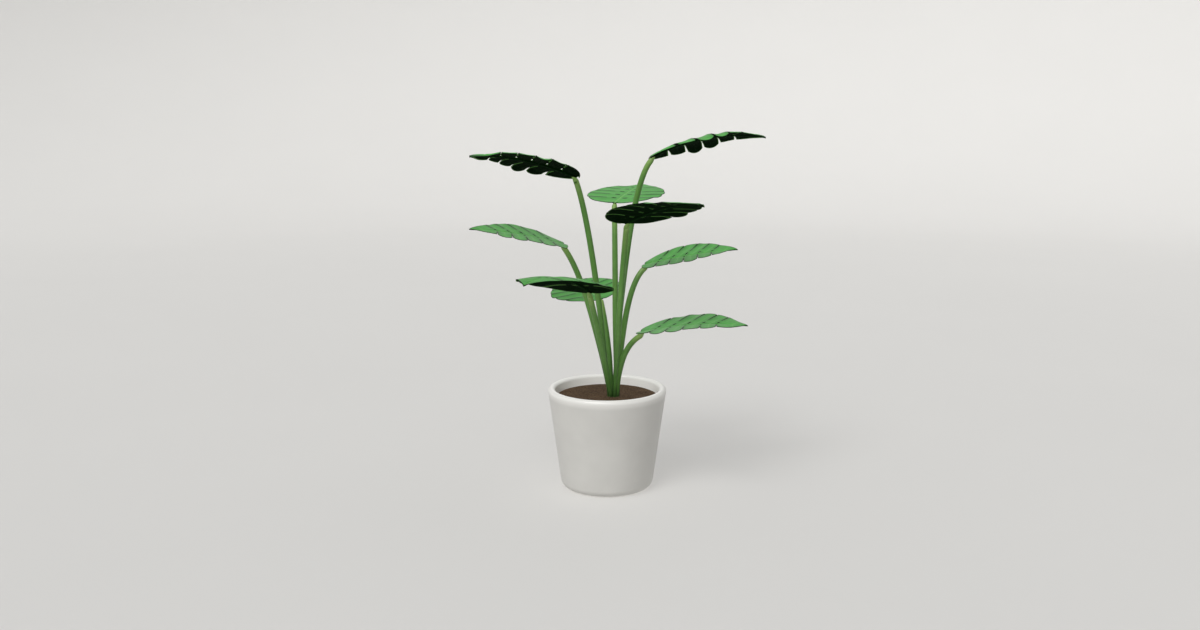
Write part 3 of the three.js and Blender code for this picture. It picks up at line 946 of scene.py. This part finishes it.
def blade_sheet(settings, leaf, leaf_index, thickest):
    """A bmesh of a blade's upper face, with its maps and, as a share of the thickest, its thickness."""
    bm = bmesh.new()
    layers = [bm.loops.layers.uv.new(name) for name in ("flat", "lobe", "edge")]
    weights = bm.verts.layers.deform.new()
    maps = {}
    for side in (1, -1):
        for lobe in range(len(SPLITS) - 1):
            blade_lobe(bm, maps, settings, leaf, leaf_index, side, lobe)
    for face in bm.faces:
        for loop in face.loops:
            for layer, place in zip(layers, maps[loop.vert]):
                loop[layer].uv = place
    for vertex in bm.verts:
        vertex[weights][0] = maps[vertex][-1] / thickest
    bmesh.ops.remove_doubles(bm, verts=bm.verts, dist=MERGE_DISTANCE)
    place = blade_place(leaf) @ Matrix.Translation((0, 0, settings.thickness / 2))
    for vertex in bm.verts:
        vertex.co = place @ arched(settings, leaf, vertex.co)
    return bm


class OBJECT_OT_monstera_pot(bpy.types.Operator):
    """Build the glazed pot with its lip, foot and drainage holes"""

    bl_idname = "object.monstera_pot"
    bl_label = "Pot"

    def execute(self, context):
        settings = context.scene.monstera_pot
        bm = spun(pot_profile(settings), settings.segments)
        pot = add_piece("glazed_pot", bm, [glazed_earthenware(settings)], "pot")
        drill_drainage(pot)
        return {"FINISHED"}


class OBJECT_OT_monstera_soil(bpy.types.Operator):
    """Build the potting soil with a lumpy, crumbly surface"""

    bl_idname = "object.monstera_soil"
    bl_label = "Soil"

    def execute(self, context):
        settings = context.scene.monstera_soil
        pot = context.scene.monstera_pot
        inwards = 2 * pot.lip_radius + SEAT_GAP
        inner_round = POT_INNER_ROUND - SEAT_GAP
        inner_height = POT_FLOOR + POT_INNER_ROUND
        rim = wall_radius(pot, settings.level, inwards) - SOIL_WALL_GAP
        floor_x = wall_radius(pot, inner_height, inwards + inner_round)
        profile = [Vector((0, 0, POT_FLOOR + SEAT_GAP))]
        profile += arc(floor_x, inner_height, inner_round, -90, -math.degrees(POT_TAPER), SOIL_EDGE_STEPS)
        for i in range(SOIL_RINGS + 1):
            profile.append(Vector((rim * (1 - i / SOIL_RINGS), 0, settings.level)))
        bm = spun(profile, SOIL_SEGMENTS)
        for vertex in bm.verts:
            if vertex.co.z >= settings.level - LEVEL_MARGIN:
                vertex.co.z += soil_height(settings, vertex.co, rim)
        add_piece("soil_surface", bm, [potting_soil(settings)], "soil")
        return {"FINISHED"}


class OBJECT_OT_monstera_stalks(bpy.types.Operator):
    """Build the nine leaf stalks, each one smooth tube from the soil to its blade"""

    bl_idname = "object.monstera_stalks"
    bl_label = "Leaf stalks"

    def execute(self, context):
        settings = context.scene.monstera_stalks
        skin = stalk_skin(settings)
        for number, leaf in enumerate(LEAVES, 1):
            bm = stalk_tube(stalk_stations(leaf, context.scene.monstera_leaves, settings))
            add_piece(f"stalk_{number:02d}", bm, [skin], f"petiole_{number:02d}")
        return {"FINISHED"}


class OBJECT_OT_monstera_leaves(bpy.types.Operator):
    """Build the nine split leaf blades with their veins, holes and midribs"""

    bl_idname = "object.monstera_leaves"
    bl_label = "Leaf blades"

    def execute(self, context):
        settings = context.scene.monstera_leaves
        faces = [leaf_upper(settings), leaf_under(settings)]
        thickest = settings.thickness + RIB_BASE_DEPTH
        for index, leaf in enumerate(LEAVES):
            bm = blade_sheet(settings, leaf, index, thickest)
            number = f"{index + 1:02d}"
            piece = add_piece(f"blade_{number}", bm, faces, f"leaf_{number}")
            piece.vertex_groups.new(name="depth")
            wall = piece.modifiers.new("thickness", "SOLIDIFY")
            wall.thickness = thickest * leaf.size
            wall.vertex_group = "depth"
            wall.offset = -1
            # The lower face and the edge take the second material, whose near-black is painted shade.
            wall.material_offset = 1
            wall.material_offset_rim = 1
        return {"FINISHED"}


# The stage


def add_sun(name, energy, spread, casts_shadow):
    """A distant, soft light from the upper left."""
    light = bpy.data.lights.new(name, "SUN")
    light.energy = energy
    light.angle = spread
    light.color = LIGHT_COLOUR
    light.use_shadow = casts_shadow
    lamp = bpy.data.objects.new(name, light)
    lamp.location = LIGHT_PLACE
    lamp.rotation_euler = (math.radians(KEY_FROM_ABOVE), 0, math.radians(-KEY_FROM_LEFT))
    bpy.context.scene.collection.objects.link(lamp)


def add_floor(settings):
    """The plain floor, swept up into a wall."""
    sweep = arc(FLOOR_RADIUS, SWEEP_RADIUS, SWEEP_RADIUS, -90, 0, SWEEP_STEPS)
    wall_top = Vector((FLOOR_RADIUS + SWEEP_RADIUS, 0, WALL_HEIGHT))
    bm = spun([Vector((0, 0, 0)), *sweep, wall_top], FLOOR_SEGMENTS)
    floor = new_object("floor", bm, [matt_paint(settings)])
    floor.data.shade_smooth()


def light_room(settings):
    """Weak, pale light from all round."""
    world = bpy.data.worlds.new("pale_room")
    world.use_nodes = True
    background = world.node_tree.nodes["Background"]
    background.inputs["Color"].default_value = ROOM_COLOUR
    background.inputs["Strength"].default_value = settings.world_strength
    bpy.context.scene.world = world


def add_camera():
    """The camera at the photograph's viewing angle."""
    camera_data = bpy.data.cameras.new("camera")
    camera_data.sensor_width = SENSOR_WIDTH
    camera_data.lens = LENS
    camera = bpy.data.objects.new("camera", camera_data)
    camera.location = CAMERA_PLACE
    camera.rotation_euler = (CAMERA_TILT, 0, 0)
    bpy.context.scene.collection.objects.link(camera)
    bpy.context.scene.camera = camera


class OBJECT_OT_monstera_stage(bpy.types.Operator):
    """Build the floor, the lights and the camera"""

    bl_idname = "object.monstera_stage"
    bl_label = "Stage"

    def execute(self, context):
        settings = context.scene.monstera_stage
        add_floor(settings)
        add_sun("key_light", settings.key_strength, settings.key_spread, True)
        add_sun("soft_light", settings.soft_strength, settings.key_spread, False)
        light_room(settings)
        add_camera()
        context.scene.view_settings.view_transform = "Standard"
        return {"FINISHED"}


OPERATORS = (
    OBJECT_OT_monstera_stage,
    OBJECT_OT_monstera_pot,
    OBJECT_OT_monstera_soil,
    OBJECT_OT_monstera_stalks,
    OBJECT_OT_monstera_leaves,
)


class VIEW3D_PT_monstera(bpy.types.Panel):
    """Lists the steps that build the plant"""

    bl_label = "Potted monstera"
    bl_space_type = "VIEW_3D"
    bl_region_type = "UI"
    bl_category = "Monstera"

    def draw(self, context):
        for operator in OPERATORS:
            self.layout.operator(operator.bl_idname)


SETTINGS = {
    "monstera_pot": PotSettings,
    "monstera_soil": SoilSettings,
    "monstera_stalks": StalkSettings,
    "monstera_leaves": LeafSettings,
    "monstera_stage": StageSettings,
}


def register():
    for cls in (*SETTINGS.values(), *OPERATORS, VIEW3D_PT_monstera):
        bpy.utils.register_class(cls)
    for name, cls in SETTINGS.items():
        setattr(bpy.types.Scene, name, PointerProperty(type=cls))


def unregister():
    for name in SETTINGS:
        delattr(bpy.types.Scene, name)
    for cls in (VIEW3D_PT_monstera, *OPERATORS, *SETTINGS.values()):
        bpy.utils.unregister_class(cls)


def main():
    """Build everything."""
    register()
    bpy.ops.object.monstera_stage()
    bpy.ops.object.monstera_pot()
    bpy.ops.object.monstera_soil()
    bpy.ops.object.monstera_stalks()
    bpy.ops.object.monstera_leaves()


if __name__ == "__main__":
    main()
